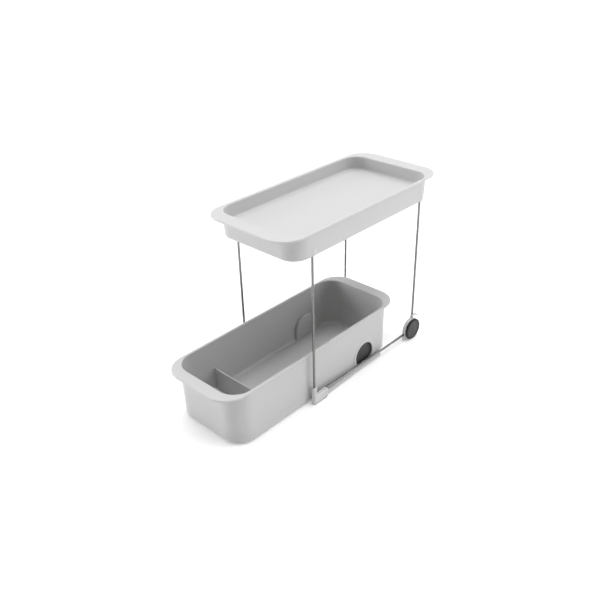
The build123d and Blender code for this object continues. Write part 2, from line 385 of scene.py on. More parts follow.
def math_node(tree, operation, *values):
    """A maths node whose inputs are sockets or numbers; gives its output."""
    return new_node(tree, "ShaderNodeMath", dict(enumerate(values)), operation).outputs[0]


def noise_node(tree, vector, scale, detail=2.0):
    inputs = {"Vector": vector, "Scale": scale, "Detail": detail}
    return new_node(tree, "ShaderNodeTexNoise", inputs).outputs["Fac"]


def map_range(tree, value, before, after=(0.0, 1.0), smooth=False):
    """A node that turns the range before into the range after; gives its output."""
    node = new_node(tree, "ShaderNodeMapRange", {
        "Value": value, "From Min": before[0], "From Max": before[1],
        "To Min": after[0], "To Max": after[1]})
    node.interpolation_type = "SMOOTHSTEP" if smooth else "LINEAR"
    return node.outputs["Result"]


def group_tree(name, inputs, outputs):
    """An empty shader group with named sockets: {name: value or None} in, {name: type} out."""
    tree = bpy.data.node_groups.new(name, "ShaderNodeTree")
    for label, value in inputs.items():
        kind = {type(None): "Vector", tuple: "Color", float: "Float"}[type(value)]
        socket = tree.interface.new_socket(name=label, in_out="INPUT", socket_type="NodeSocket" + kind)
        if value is not None:
            socket.default_value = value
    for label, kind in outputs.items():
        tree.interface.new_socket(name=label, in_out="OUTPUT", socket_type="NodeSocket" + kind)
    return tree, tree.nodes.new("NodeGroupInput").outputs, tree.nodes.new("NodeGroupOutput").inputs


def make_moulded_grain():
    """Fine spark-eroded grain of moulded plastic, as a height."""
    tree, given, out = group_tree("moulded_grain", {
        "Vector": None, "Grain scale": 2600.0, "Flow scale": 60.0}, {"Height": "Float"})
    fine = noise_node(tree, given["Vector"], given["Grain scale"], 3.0)
    flow = noise_node(tree, given["Vector"], given["Flow scale"], 1.0)
    height = math_node(tree, "ADD", math_node(tree, "MULTIPLY", fine, 0.75),
                       math_node(tree, "MULTIPLY", flow, 0.25))
    tree.links.new(height, out["Height"])
    return tree


def make_surface_drift():
    """Slow drift of tone and gloss over a moulded or drawn surface."""
    tree, given, out = group_tree("surface_drift", {
        "Vector": None, "Colour": (0.5, 0.5, 0.5, 1.0), "Tone amount": 0.03,
        "Roughness": 0.45, "Gloss amount": 0.08, "Scale": 14.0},
        {"Colour": "Color", "Roughness": "Float"})
    slow = noise_node(tree, given["Vector"], given["Scale"], 4.0)
    quick = noise_node(tree, given["Vector"], math_node(tree, "MULTIPLY", given["Scale"], 9.0), 3.0)
    centred = math_node(tree, "SUBTRACT", slow, 0.5)
    tone = math_node(tree, "ADD", 1.0, math_node(tree, "MULTIPLY", centred, given["Tone amount"]))
    scaled = new_node(tree, "ShaderNodeVectorMath", {0: given["Colour"], "Scale": tone}, "SCALE")
    tree.links.new(scaled.outputs[0], out["Colour"])
    gloss = math_node(tree, "MULTIPLY", math_node(tree, "SUBTRACT", quick, 0.5), given["Gloss amount"])
    tree.links.new(math_node(tree, "ADD", given["Roughness"], gloss), out["Roughness"])
    return tree


def make_handling_marks():
    """Sparse faint scuffs, as a mask from 0 to 1."""
    tree, given, out = group_tree("handling_marks", {
        "Vector": None, "Scale": 35.0, "Amount": 0.3}, {"Mask": "Float"})
    stretch = new_node(tree, "ShaderNodeMapping", {
        "Vector": given["Vector"], "Scale": (1.0, 0.12, 1.0), "Rotation": (0.0, 0.3, 0.5)})
    finer = math_node(tree, "MULTIPLY", given["Scale"], 12.0)
    streaks = noise_node(tree, stretch.outputs[0], finer, 2.0)
    patches = noise_node(tree, given["Vector"], given["Scale"], 2.0)
    both = math_node(tree, "MULTIPLY", map_range(tree, streaks, (0.62, 0.74)),
                     map_range(tree, patches, (0.55, 0.7)))
    tree.links.new(math_node(tree, "MULTIPLY", both, given["Amount"]), out["Mask"])
    return tree


GRAIN = make_moulded_grain()
DRIFT = make_surface_drift()
MARKS = make_handling_marks()


def place_group(tree, group, vector, **values):
    """Put a shared group in a material, fed with object coordinates; gives its outputs."""
    node = tree.nodes.new("ShaderNodeGroup")
    node.node_tree = group
    tree.links.new(vector, node.inputs["Vector"])
    for label, value in values.items():
        node.inputs[label.replace("_", " ")].default_value = value
    return node.outputs


def start_material(name, roughness, **sockets):
    """A material with its shader and object coordinates ready."""
    material = bpy.data.materials.new(name)
    material.use_nodes = True
    tree = material.node_tree
    shader = tree.nodes["Principled BSDF"]
    shader.inputs["Roughness"].default_value = roughness
    for label, value in sockets.items():
        shader.inputs[label.replace("_", " ")].default_value = value
    coords = tree.nodes.new("ShaderNodeTexCoord")
    return material, tree, shader, coords.outputs["Object"]


def bump(tree, shader, height, distance, strength=1.0):
    node = new_node(tree, "ShaderNodeBump", {
        "Distance": distance, "Strength": strength, "Height": height})
    tree.links.new(node.outputs["Normal"], shader.inputs["Normal"])


SCUFF_GAIN, SCUFF_LIFT, SCUFF_ROUGHNESS = 1.12, 0.02, 0.2


def moulded_plastic(name, colour, roughness, grain_scale, grain_depth, marks=0.25, tone=0.04):
    """Satin moulded plastic: fine grain, slow drift and a few faint scuffs."""
    material, tree, shader, vector = start_material(name, roughness, IOR=1.49)
    drift = place_group(tree, DRIFT, vector, Colour=(*colour, 1.0), Roughness=roughness,
                        Tone_amount=tone, Gloss_amount=0.1)
    scuffs = place_group(tree, MARKS, vector, Amount=marks)
    scuffed = [min(c * SCUFF_GAIN + SCUFF_LIFT, 1.0) for c in colour]
    lighter = new_node(tree, "ShaderNodeMixRGB", {
        "Fac": scuffs["Mask"], "Color1": drift["Colour"], "Color2": (*scuffed, 1.0)})
    tree.links.new(lighter.outputs["Color"], shader.inputs["Base Color"])
    rough = math_node(tree, "ADD", drift["Roughness"],
                      math_node(tree, "MULTIPLY", scuffs["Mask"], SCUFF_ROUGHNESS))
    tree.links.new(rough, shader.inputs["Roughness"])
    grain = place_group(tree, GRAIN, vector, Grain_scale=grain_scale)
    bump(tree, shader, grain["Height"], grain_depth)
    return material


DRAWN_STRETCH = 0.02
DRAWN_SCALE = 4200.0


def drawn_steel(name, colour, roughness, along):
    """Satin drawn wire: fine lines along its length and a soft change of tone."""
    material, tree, shader, vector = start_material(name, roughness, Metallic=1.0)
    stretch = new_node(tree, "ShaderNodeMapping", {
        "Vector": vector, "Scale": [DRAWN_STRETCH if axis == along else 1.0 for axis in "xyz"]})
    lines = noise_node(tree, stretch.outputs[0], DRAWN_SCALE, 3.0)
    drift = place_group(tree, DRIFT, vector, Colour=(*colour, 1.0), Roughness=roughness,
                        Tone_amount=0.25, Gloss_amount=0.18, Scale=30.0)
    tree.links.new(drift["Colour"], shader.inputs["Base Color"])
    rough = math_node(tree, "ADD", drift["Roughness"],
                      math_node(tree, "MULTIPLY", math_node(tree, "SUBTRACT", lines, 0.5), 0.2))
    tree.links.new(rough, shader.inputs["Roughness"])
    bump(tree, shader, lines, 0.00003, 0.6)
    return material


def soft_rubber(name, colour, roughness):
    """Soft rubber: open grain and dusty patches of a lighter tone."""
    material, tree, shader, vector = start_material(name, roughness, IOR=1.5)
    drift = place_group(tree, DRIFT, vector, Colour=(*colour, 1.0), Roughness=roughness,
                        Tone_amount=0.5, Gloss_amount=0.15, Scale=60.0)
    tree.links.new(drift["Colour"], shader.inputs["Base Color"])
    tree.links.new(drift["Roughness"], shader.inputs["Roughness"])
    grain = place_group(tree, GRAIN, vector, Grain_scale=1800.0, Flow_scale=250.0)
    bump(tree, shader, grain["Height"], 0.00012)
    return material


shell_plastic = moulded_plastic("light_grey_plastic", (0.48, 0.48, 0.48), 0.42, 2400.0, 0.00006)
bin_plastic = moulded_plastic("drawer_grey_plastic", (0.49, 0.49, 0.49), 0.42, 2400.0, 0.00006)
fitting_plastic = moulded_plastic("fitting_plastic", (0.56, 0.56, 0.565), 0.38, 3200.0, 0.00004)
wheel_plastic = moulded_plastic("wheel_plastic", (0.030, 0.030, 0.031), 0.5, 2600.0, 0.00008,
                                marks=0.12, tone=0.3)
tyre_rubber = soft_rubber("tyre_rubber", (0.012, 0.012, 0.012), 0.65)
pad_rubber = soft_rubber("pad_rubber", (0.16, 0.16, 0.16), 0.65)
post_steel = drawn_steel("upright_wire_steel", (0.20, 0.195, 0.19), 0.28, "z")
rail_steel = drawn_steel("rail_wire_steel", (0.20, 0.195, 0.19), 0.28, "y")
pin_steel = drawn_steel("pin_steel", (0.30, 0.30, 0.31), 0.38, "x")


# ---------------------------------------------------------------- repeated bars
def start_bars(name, more_inputs):
    """A geometry tree with named inputs; gives it, its inputs and its output."""
    tree = bpy.data.node_groups.new(name, "GeometryNodeTree")
    inputs = {"Count": "Int", "Bar size": "Vector", "Material": "Material", **more_inputs}
    for label, kind in inputs.items():
        tree.interface.new_socket(name=label, in_out="INPUT", socket_type="NodeSocket" + kind)
    tree.interface.new_socket(name="Geometry", in_out="OUTPUT", socket_type="NodeSocketGeometry")
    return tree, tree.nodes.new("NodeGroupInput").outputs, tree.nodes.new("NodeGroupOutput").inputs


def finish_bars(tree, points, given, out, rotation=(0.0, 0.0, 0.0)):
    """Place the bar on every point, make it real and give it its material."""
    bar = new_node(tree, "GeometryNodeMeshCube", {"Size": given["Bar size"]})
    bars = new_node(tree, "GeometryNodeInstanceOnPoints", {
        "Points": points, "Instance": bar.outputs["Mesh"], "Rotation": rotation})
    real = new_node(tree, "GeometryNodeRealizeInstances", {0: bars.outputs[0]})
    paint = new_node(tree, "GeometryNodeSetMaterial", {
        "Geometry": real.outputs[0], "Material": given["Material"]})
    tree.links.new(paint.outputs[0], out["Geometry"])


def bar_row_tree():
    """Geometry nodes for a row of equal bars along a line."""
    tree, given, out = start_bars("bar_row", {"Start": "Vector", "Step": "Vector"})
    line = new_node(tree, "GeometryNodeMeshLine", {
        "Count": given["Count"], "Start Location": given["Start"], "Offset": given["Step"]})
    finish_bars(tree, line.outputs["Mesh"], given, out)
    return tree


def tread_tree():
    """Geometry nodes for bars spaced evenly round a wheel that turns about x."""
    tree, given, out = start_bars("tread_bars", {"Radius": "Float", "Centre": "Vector"})
    line = new_node(tree, "GeometryNodeMeshLine", {"Count": given["Count"], "Offset": (0.0, 0.0, 0.0)})
    index = tree.nodes.new("GeometryNodeInputIndex").outputs[0]
    turn = math_node(tree, "MULTIPLY", index, math_node(tree, "DIVIDE", 2 * math.pi, given["Count"]))
    offset = new_node(tree, "ShaderNodeCombineXYZ", {
        "Y": math_node(tree, "MULTIPLY", math_node(tree, "COSINE", turn), given["Radius"]),
        "Z": math_node(tree, "MULTIPLY", math_node(tree, "SINE", turn), given["Radius"])})
    place = new_node(tree, "ShaderNodeVectorMath", {0: given["Centre"], 1: offset.outputs[0]}, "ADD")
    ring = new_node(tree, "GeometryNodeSetPosition", {
        "Geometry": line.outputs["Mesh"], "Position": place.outputs[0]})
    spin = new_node(tree, "ShaderNodeCombineXYZ", {"X": turn})
    finish_bars(tree, ring.outputs[0], given, out, spin.outputs[0])
    return tree


BAR_ROW = bar_row_tree()
TREAD = tread_tree()


def grown_by_nodes(name, tree, values):
    """Run a geometry node tree with named values and keep the plain mesh."""
    carrier = bpy.data.objects.new(name + "_carrier", bpy.data.meshes.new(name + "_carrier"))
    bpy.context.scene.collection.objects.link(carrier)
    modifier = carrier.modifiers.new("grow", "NODES")
    modifier.node_group = tree
    for item in tree.interface.items_tree:
        if item.in_out == "INPUT" and item.name in values:
            modifier[item.identifier] = values[item.name]
    bpy.context.view_layer.update()
    evaluated = carrier.evaluated_get(bpy.context.evaluated_depsgraph_get())
    mesh = bpy.data.meshes.new_from_object(evaluated)
    mesh.name = name
    bpy.data.objects.remove(carrier)
    obj = bpy.data.objects.new(name, mesh)
    bpy.context.scene.collection.objects.link(obj)
    return obj


# ---------------------------------------------------------------- rounded shells
# A hold is a ring set a little way from a rounded edge, so that the flat beside it stays flat.
HOLD = 1.5
Dish = namedtuple("Dish", "rim mouth foot lip_round mouth_round foot_round lip_hold mouth_hold "
                          "foot_steps floor_inset")


def dish_rings(dish, top, floor_top):
    """Rings over the lip's top, down the inside wall and across the floor of a shell."""
    def inside(z):
        return mix(dish.foot, dish.mouth, (z - floor_top) / (top - floor_top))

    outer = grow(dish.rim, -dish.lip_round - dish.lip_hold)
    inner = grow(dish.mouth, dish.mouth_round + dish.mouth_hold)
    rings = [(grow(dish.rim, -inset), top - drop) for drop, inset in quarter(dish.lip_round, 6)]
    rings += [(outer, top), (mix(outer, inner, 0.5), top), (inner, top)]
    rings += [(grow(dish.mouth, out), top - drop) for out, drop in quarter(dish.mouth_round, 7)]
    for z in (top - dish.mouth_round - HOLD, floor_top + dish.foot_round + HOLD):
        rings.append((inside(z), z))
    for rise, inset in quarter(dish.foot_round, dish.foot_steps):
        rings.append((grow(inside(floor_top + rise), -inset), floor_top + rise))
    rings.append((grow(dish.foot, -dish.foot_round - HOLD), floor_top))
    rings.append((grow(dish.foot, -dish.floor_inset), floor_top))
    return rings


def lip_underside(wall_top, rim, under, cove, cove_steps, edge, edge_steps, hold=None):
    """Rings round the cove under a lip and out to the lip's lower edge."""
    rings = [(grow(wall_top, out), under - drop) for drop, out in quarter(cove, cove_steps)]
    rings.append((mix(grow(wall_top, cove), grow(rim, -edge), 0.5), under))
    if hold is not None:
        rings.append((grow(rim, -edge - hold), under))
    rings += [(grow(rim, -inset), under + rise) for rise, inset in quarter(edge, edge_steps, 90, 0)]
    return rings


# ---------------------------------------------------------------- the top tray
TRAY_WALL_TOP = (191.8, 381.8, 35.0)
TRAY_WALL_FOOT = (187.65, 377.65, 32.9)
TRAY_POCKET = (181.65, 371.65, 29.9)
TRAY_DISH = Dish(rim=(199.0, 433.0, 40.5), mouth=(185.6, 375.0, 32.0), foot=(183.6, 373.0, 31.0),
                 lip_round=1.8, mouth_round=2.4, foot_round=4.5, lip_hold=0.5, mouth_hold=0.3,
                 foot_steps=7, floor_inset=20)
TRAY_DEPTH_INSIDE = 28.0
TRAY_FLOOR = 2.6
TRAY_LIP = 4.0
TRAY_FOOT_ROUND = 5.0
TRAY_COVE = 1.4
TRAY_EDGE_HOLD = 0.2
# holds above the wall's foot and below its lip, and in from the pocket's wall
TRAY_WALL_HOLDS = (7.5, 4.0)
POCKET_HOLDS = (14, 3.5)
POCKET_ROUND = 2.0
POCKET_FOOT = 3.4
# how far the pocket's lower edge flares, the height where it starts and how far it falls
POCKET_EDGE = (0.9, 2.2, 1.1)
# the post bosses: how far they start above the skirt's foot and how deep they go into the floor
BOSS_RADIUS, BOSS_RISE, BOSS_SINK = 4.6, 1.9, 1.0
SOCKET_RADIUS, SOCKET_STOP = 2.35, 0.4
RIB_HEIGHT, RIB_WIDTH, RIB_SINK = 11.0, 1.6, 0.3
CROSS_RIBS, LONG_RIBS = 7, 3
RIB_CLEAR, CROSS_CLEAR, LONG_DROP = 9, 60, 1


def make_top_tray():
    """The tray shell: skirt, rolled lip, shallow dish and the hollow underneath."""
    base, top = tray_low.z, tray_high.z
    floor_top = top - TRAY_DEPTH_INSIDE
    ceiling = floor_top - TRAY_FLOOR
    under = top - TRAY_LIP

    def wall(z):
        return mix(TRAY_WALL_FOOT, TRAY_WALL_TOP, (z - base) / (top - base))

    rings = [(grow(TRAY_POCKET, -hold), ceiling) for hold in POCKET_HOLDS]
    rings += [(grow(TRAY_POCKET, -inset), ceiling - drop) for inset, drop in quarter(POCKET_ROUND, 4)]
    rings.append((TRAY_POCKET, base + POCKET_FOOT))
    out, start, fall = POCKET_EDGE
    for angle in arc(3, 0, 70):
        rings.append((grow(TRAY_POCKET, out * (1 - math.cos(angle))),
                      base + start - fall * math.sin(angle)))
    for rise, inset in quarter(TRAY_FOOT_ROUND, 8, 62, 0):
        rings.append((grow(wall(base + rise), -inset), base + rise))
    low_hold, high_hold = TRAY_WALL_HOLDS
    rings += [(wall(z), z) for z in (base + low_hold, under - high_hold)]
    rings += lip_underside(wall(under), TRAY_DISH.rim, under, TRAY_COVE, 4,
                           TRAY_DISH.lip_round, 5, TRAY_EDGE_HOLD)
    rings += dish_rings(TRAY_DISH, top, floor_top)
    tray = new_piece("top_tray_shell", shell(rings, TRAY_Y))

    for side, _ in SIDES:
        for end in ENDS:
            x, y = post_place(end, side)[:2]
            add(tray, pad_solid(circle_outline(BOSS_RADIUS), base + BOSS_RISE, ceiling + BOSS_SINK,
                                0.5, 0.1, standing(x, y)))
            cut(tray, pad_solid(circle_outline(SOCKET_RADIUS), base - 3.0, ceiling - SOCKET_STOP,
                                0.1, 0.1, standing(x, y)))
    clean(tray)
    finish_piece(tray, "frame", "light_plastic", shell_plastic, "top_tray")

    rib_z = ceiling - RIB_HEIGHT / 2 + RIB_SINK
    cross_gap = (TRAY_POCKET[1] - CROSS_CLEAR) / (CROSS_RIBS - 1)
    long_gap = TRAY_POCKET[0] / (LONG_RIBS + 1)
    rows = (
        ("tray_cross_ribs", CROSS_RIBS, (TRAY_POCKET[0] - RIB_CLEAR, RIB_WIDTH, RIB_HEIGHT),
         (0, TRAY_Y - cross_gap * (CROSS_RIBS - 1) / 2, rib_z), (0, cross_gap, 0)),
        ("tray_long_ribs", LONG_RIBS, (RIB_WIDTH, TRAY_POCKET[1] - RIB_CLEAR, RIB_HEIGHT - LONG_DROP),
         (-long_gap * (LONG_RIBS - 1) / 2, TRAY_Y, rib_z + LONG_DROP / 2), (long_gap, 0, 0)),
    )
    for name, count, size, start, step in rows:
        ribs = grown_by_nodes(name, BAR_ROW, {
            "Count": count, "Bar size": Vector(size) * MM, "Start": Vector(start) * MM,
            "Step": Vector(step) * MM, "Material": shell_plastic})
        finish_piece(ribs, "frame", "light_plastic", shell_plastic)


# ---------------------------------------------------------------- the drawer
BIN_WALL_TOP = (164.8, 425.0, 38.8)
BIN_WALL_FOOT = (163.1, 421.7, 37.8)
BIN_DISH = Dish(rim=(168.0, 466.0, 43.5), mouth=(157.6, 418.5, 36.0), foot=(152.3, 413.2, 33.3),
                lip_round=1.8, mouth_round=1.8, foot_round=6.0, lip_hold=0.3, mouth_hold=0.2,
                foot_steps=8, floor_inset=24)
BIN_FLOOR = 3.5
BIN_LIP = 3.5
BIN_LIP_UNDER_ROUND = 0.7
BIN_COVE = 0.7
BIN_FOOT_ROUND = 7.0
BIN_WALL_HOLDS = (10, 3)
# inset from the foot of the wall, and height: the sunk panel in the middle of the underside
BIN_UNDERSIDE = ((30, 1.0), (19, 1.0), (18.4, 1.0), (17.4, 0), (16.8, 0), (8.2, 0))
WINDOW_RADIUS = 25.2
WINDOW_SILL = 6.0
WELL_GAP = 1.0
WELL_WALL = 2.6
WELL_ROUND = 1.4
WHEEL_SIDE_GAP = 0.5
CUT_ROUND = 0.05
# the pairs of ribs on the inner walls that the divider slides between
GUIDE_HALF, GUIDE_HEIGHT, GUIDE_ROUND = 1.0, 42, 0.95
GUIDE_GAP, GUIDE_REACH, GUIDE_ROOT, GUIDE_SINK = 0.3, 1.6, 1.8, 0.5


def bin_wall(z):
    return mix(BIN_WALL_FOOT, BIN_WALL_TOP, (z - drawer_low.z) / (drawer_high.z - drawer_low.z))


def well_outline(radius, foot):
    """A round-topped shape about the wheel centre, its foot that far below it."""
    points = [(-radius, -foot), (radius, -foot)]
    return points + [(radius * math.cos(a), radius * math.sin(a)) for a in arc(48, 0, 180)]


def window_outline(radius, foot):
    """A circle cut off level at its foot."""
    start = -math.degrees(math.asin(foot / radius))
    return [(radius * math.cos(a), radius * math.sin(a)) for a in arc(84, start, 180 - start)]


def make_drawer():
    """The drawer shell with its wheel wells, windows and divider guides."""
    base, top = drawer_low.z, drawer_high.z
    floor_top = base + BIN_FLOOR
    under = top - BIN_LIP
    rings = [(grow(BIN_WALL_FOOT, -inset), base + height) for inset, height in BIN_UNDERSIDE]
    for rise, inset in quarter(BIN_FOOT_ROUND, 9, 90, 0):
        rings.append((grow(bin_wall(base + rise), -inset), base + rise))
    low_hold, high_hold = BIN_WALL_HOLDS
    rings += [(bin_wall(z), z) for z in (base + low_hold, under - high_hold)]
    rings += lip_underside(bin_wall(under), BIN_DISH.rim, under, BIN_COVE, 3, BIN_LIP_UNDER_ROUND, 3)
    rings += dish_rings(BIN_DISH, top, floor_top)
    bin_shell = new_piece("drawer_shell", shell(rings, DRAWER_Y))

    for side, sign in SIDES:
        centre, radius, inner_x, outer_x = wheel_place("drawer", side)
        pocket_x, outer = abs(inner_x) - WHEEL_SIDE_GAP, abs(outer_x)
        place = facing_out(sign, centre)
        add(bin_shell, pad_solid(well_outline(radius + WELL_GAP + WELL_WALL, centre.z - base - 0.6),
                                 pocket_x - WELL_WALL, outer + 0.4, WELL_ROUND, 0.1, place))
        cut(bin_shell, pad_solid(well_outline(radius + WELL_GAP, centre.z + 5),
                                 pocket_x, outer + 0.5, CUT_ROUND, CUT_ROUND, place))
        cut(bin_shell, pad_solid(window_outline(WINDOW_RADIUS, centre.z - WINDOW_SILL),
                                 outer - 3, outer + 10, CUT_ROUND, CUT_ROUND, place))
    divider_low, divider_high = node_box("drawer_divider")
    guide = rounded_corners([(-GUIDE_HALF, 0, 0), (GUIDE_HALF, 0, 0),
                             (GUIDE_HALF, GUIDE_HEIGHT, GUIDE_ROUND),
                             (-GUIDE_HALF, GUIDE_HEIGHT, GUIDE_ROUND)], 4)
    wall_x = BIN_DISH.foot[0] / 2
    for _, sign in SIDES:
        for y in (divider_low.y - GUIDE_GAP - GUIDE_HALF, divider_high.y + GUIDE_GAP + GUIDE_HALF):
            place = facing_out(sign, Vector((0, y, floor_top - GUIDE_SINK)))
            add(bin_shell, pad_solid(guide, wall_x - GUIDE_REACH, wall_x + GUIDE_ROOT,
                                     0.7, CUT_ROUND, place))
    clean(bin_shell)
    finish_piece(bin_shell, "drawer", "light_plastic", bin_plastic, "drawer_bin")


SURROUND_WIDTH = 7.0
SURROUND_PROUD = 0.85
SURROUND_ROOT = 0.8
SURROUND_EDGE = 0.7
SURROUND_FADE = 2.5
SURROUND_STEPS = 96


def make_window_surrounds():
    """The raised rings moulded round the two wheel windows, down to the runner."""
    runner_top = node_box("drawer_runner_right")[1].z
    outer = WINDOW_RADIUS + SURROUND_WIDTH
    section = [(WINDOW_RADIUS + 0.02, -SURROUND_ROOT)]
    section += [(WINDOW_RADIUS + inset, SURROUND_PROUD - drop)
                for drop, inset in quarter(SURROUND_EDGE, 4)]
    section += [(outer - SURROUND_FADE + SURROUND_FADE * math.sin(a), SURROUND_PROUD * math.cos(a))
                for a in arc(6)]
    section += [(outer, -SURROUND_ROOT)]
    for side, sign in SIDES:
        centre = wheel_place("drawer", side)[0]
        low = math.degrees(math.asin((centre.z - runner_top) / outer))
        bm = bmesh.new()
        loops = []
        for angle in arc(SURROUND_STEPS, -low, 180 + low):
            surface = bin_wall(centre.z + WINDOW_RADIUS * math.sin(angle))[0] / 2
            loops.append([bm.verts.new((sign * (surface + out),
                                        centre.y + r * math.cos(angle),
                                        max(centre.z + r * math.sin(angle), runner_top - 0.3)))
                          for r, out in section])
        for a, b in zip(loops, loops[1:]):
            bridge(bm, a, b)
        bm.faces.new(list(reversed(loops[0])))
        bm.faces.new(loops[-1])
        ring = new_piece(f"window_surround_{side}", bm)
        finish_piece(ring, "drawer", "light_plastic", bin_plastic)


def rounded_box(low, high, edge):
    """A box with rounded edges between two corners."""
    centre, half = middle(low, high), (high - low) / 2
    corner = min(edge * 1.2, half.x * 0.9, half.y * 0.9)
    outline = rounded_corners([(sx * half.x, sy * half.y, corner)
                               for sx, sy in ((-1, -1), (1, -1), (1, 1), (-1, 1))], 5)
    return pad_solid(outline, low.z, high.z, edge, edge, standing(centre.x, centre.y), 4)


DIVIDER_SIDE_GAP = 0.4
DIVIDER_FOOT_CORNER = 6.0
DIVIDER_TOP_CORNER = 1.5
DIVIDER_EDGE_SHARE = 0.85


def make_divider():
    """The loose plate across the front of the drawer, with a rounded top edge."""
    low, high = node_box("drawer_divider")
    foot_x = BIN_DISH.foot[0] / 2 - DIVIDER_SIDE_GAP
    top_x = high.x - 0.1
    outline = rounded_corners([
        (-foot_x, low.z, DIVIDER_FOOT_CORNER), (foot_x, low.z, DIVIDER_FOOT_CORNER),
        (top_x, high.z, DIVIDER_TOP_CORNER), (-top_x, high.z, DIVIDER_TOP_CORNER)], 8)
    edge = (high.y - low.y) / 2 * DIVIDER_EDGE_SHARE
    plate = pad_solid(outline, low.y, high.y, edge, edge, lambda u, v, w: Vector((-u, w, v)), 5)
    finish_piece(new_piece("divider_plate", plate), "divider", "light_plastic", bin_plastic,
                 "drawer_divider")


FLANGE_REACH = 91.6
FLANGE_LENGTH = 120.0
FLANGE_GAP = 0.6
FLANGE_BEND = 40.0
RUNNER_ROUND = 1.2


def make_runners():
    """Low strips along the foot of the drawer, widest behind the feet and narrowing to the rear."""
    for side, sign in SIDES:
        low, high = node_box(f"drawer_runner_{side}")
        inner, outer = sorted((abs(low.x), abs(high.x)))
        start = node_box(f"front_foot_{side}")[1].y + FLANGE_GAP
        outline = rounded_corners([
            (inner, low.y, 0.5), (outer, low.y, 1.2), (outer, start - 0.2, 0.1),
            (FLANGE_REACH, start, 1.4), (outer, start + FLANGE_LENGTH, FLANGE_BEND),
            (outer, high.y, 1.2), (inner, high.y, 0.5)], 6)
        strip = pad_solid(outline, low.z, high.z, RUNNER_ROUND, RUNNER_ROUND,
                          lambda u, v, w, sign=sign: Vector((sign * u, v, w)), 4)
        finish_piece(new_piece(f"runner_strip_{side}", strip), "drawer", "light_plastic", bin_plastic,
                     f"drawer_runner_{side}")


# ---------------------------------------------------------------- wire frame
WIRE_END_ROUND = 0.5


def make_wire():
    """The four posts and the two bottom rails."""
    for side, _ in SIDES:
        for end in ENDS:
            low, high = node_box(f"{end}_post_{side}")
            x, y, foot, top = post_place(end, side)
            post = pad_solid(circle_outline((high.x - low.x) / 2), foot, top,
                             WIRE_END_ROUND, WIRE_END_ROUND, standing(x, y), 3)
            finish_piece(new_piece(f"post_{end}_{side}", post), "frame", "satin_steel", post_steel,
                         f"{end}_post_{side}")
        low, high = node_box(f"bottom_rail_{side}")
        x, z, front, rear = rail_place(side)
        rail = pad_solid(circle_outline((high.z - low.z) / 2), front, rear,
                         WIRE_END_ROUND, WIRE_END_ROUND, lying(x, z), 3)
        finish_piece(new_piece(f"rail_{side}", rail), "frame", "satin_steel", rail_steel,
                     f"bottom_rail_{side}")


# ---------------------------------------------------------------- feet and housings
WIRE_HOLE = 2.3
HOLE_END_GAP = 0.3
HOLE_OVERRUN = 3
FOOT_RADIUS = 5.0
ARM_TOP = 19.4
ARM_X = (86.9, 94.8)
CLIP_X = (86.95, 95.4)
CLIP_LENGTH = 6.5


def make_feet():
    """Each front foot: an upright socket, a low arm with a clip end, and a rubber pad."""
    for side, sign in SIDES:
        x, y, post_foot, _ = post_place("front", side)
        rail_x, rail_z, rail_front, _ = rail_place(side)
        low, high = node_box(f"front_foot_{side}")
        foot = new_piece(f"foot_{side}", pad_solid(circle_outline(FOOT_RADIUS, 64), low.z, high.z,
                                                   0.3, 1.5, standing(x, y)))
        arm_low, arm_high = sorted(sign * edge for edge in ARM_X)
        add(foot, rounded_box(Vector((arm_low, y - 1, low.z)), Vector((arm_high, high.y, ARM_TOP)), 1.5))
        clip_low, clip_high = sorted(sign * edge for edge in CLIP_X)
        add(foot, rounded_box(Vector((clip_low, high.y - CLIP_LENGTH, low.z + 0.2)),
                              Vector((clip_high, high.y - 0.2, ARM_TOP + 0.5)), 1.2))
        cut(foot, pad_solid(circle_outline(WIRE_HOLE), post_foot - HOLE_END_GAP, high.z + HOLE_OVERRUN,
                            0.1, 0.1, standing(x, y)))
        cut(foot, pad_solid(circle_outline(WIRE_HOLE), rail_front - HOLE_END_GAP, high.y + HOLE_OVERRUN,
                            0.1, 0.1, lying(rail_x, rail_z)))
        clean(foot, FITTING_ANGLE)
        finish_piece(foot, "frame", "fittings", fitting_plastic, f"front_foot_{side}")
        paint_node(f"foot_pad_{side}", pad_rubber)


HOUSING_RADIUS = 23.2
TOE_LEVEL = -1.5
TOE_CORNER = 2.4
TAIL_END = 21.0
TAIL_TOP = 53.0
TAIL_DROP = 5.0
TAIL_THICKNESS = 2.2
TAIL_CORNER = 0.9
TAIL_BEND = 9
TAIL_INSET = 0.6
POST_BOSS_RADIUS, POST_BOSS_START = 3.3, 12
COLLAR_RADIUS, COLLAR_LENGTH = 3.2, 6
AXLE_HOLE = 2.52
FITTING_ANGLE = 40


def housing_outline(radius, toe_v, foot_v):
    """The housing seen from the side, about the wheel centre: a round cheek with a square toe."""
    foot_u = math.sqrt(radius ** 2 - foot_v ** 2)
    foot_angle = math.degrees(math.atan2(foot_v, foot_u))
    toe_angle = math.degrees(math.asin(toe_v / radius))
    outline = [(radius * math.cos(a), radius * math.sin(a))
               for a in arc(72, foot_angle, 180 - toe_angle)]
    outline += rounded_corners([(-radius - 0.05, toe_v - 1.0, 0), (-radius - 0.05, foot_v, TOE_CORNER),
                                (foot_u - 0.5, foot_v, 0)], 8)
    return outline


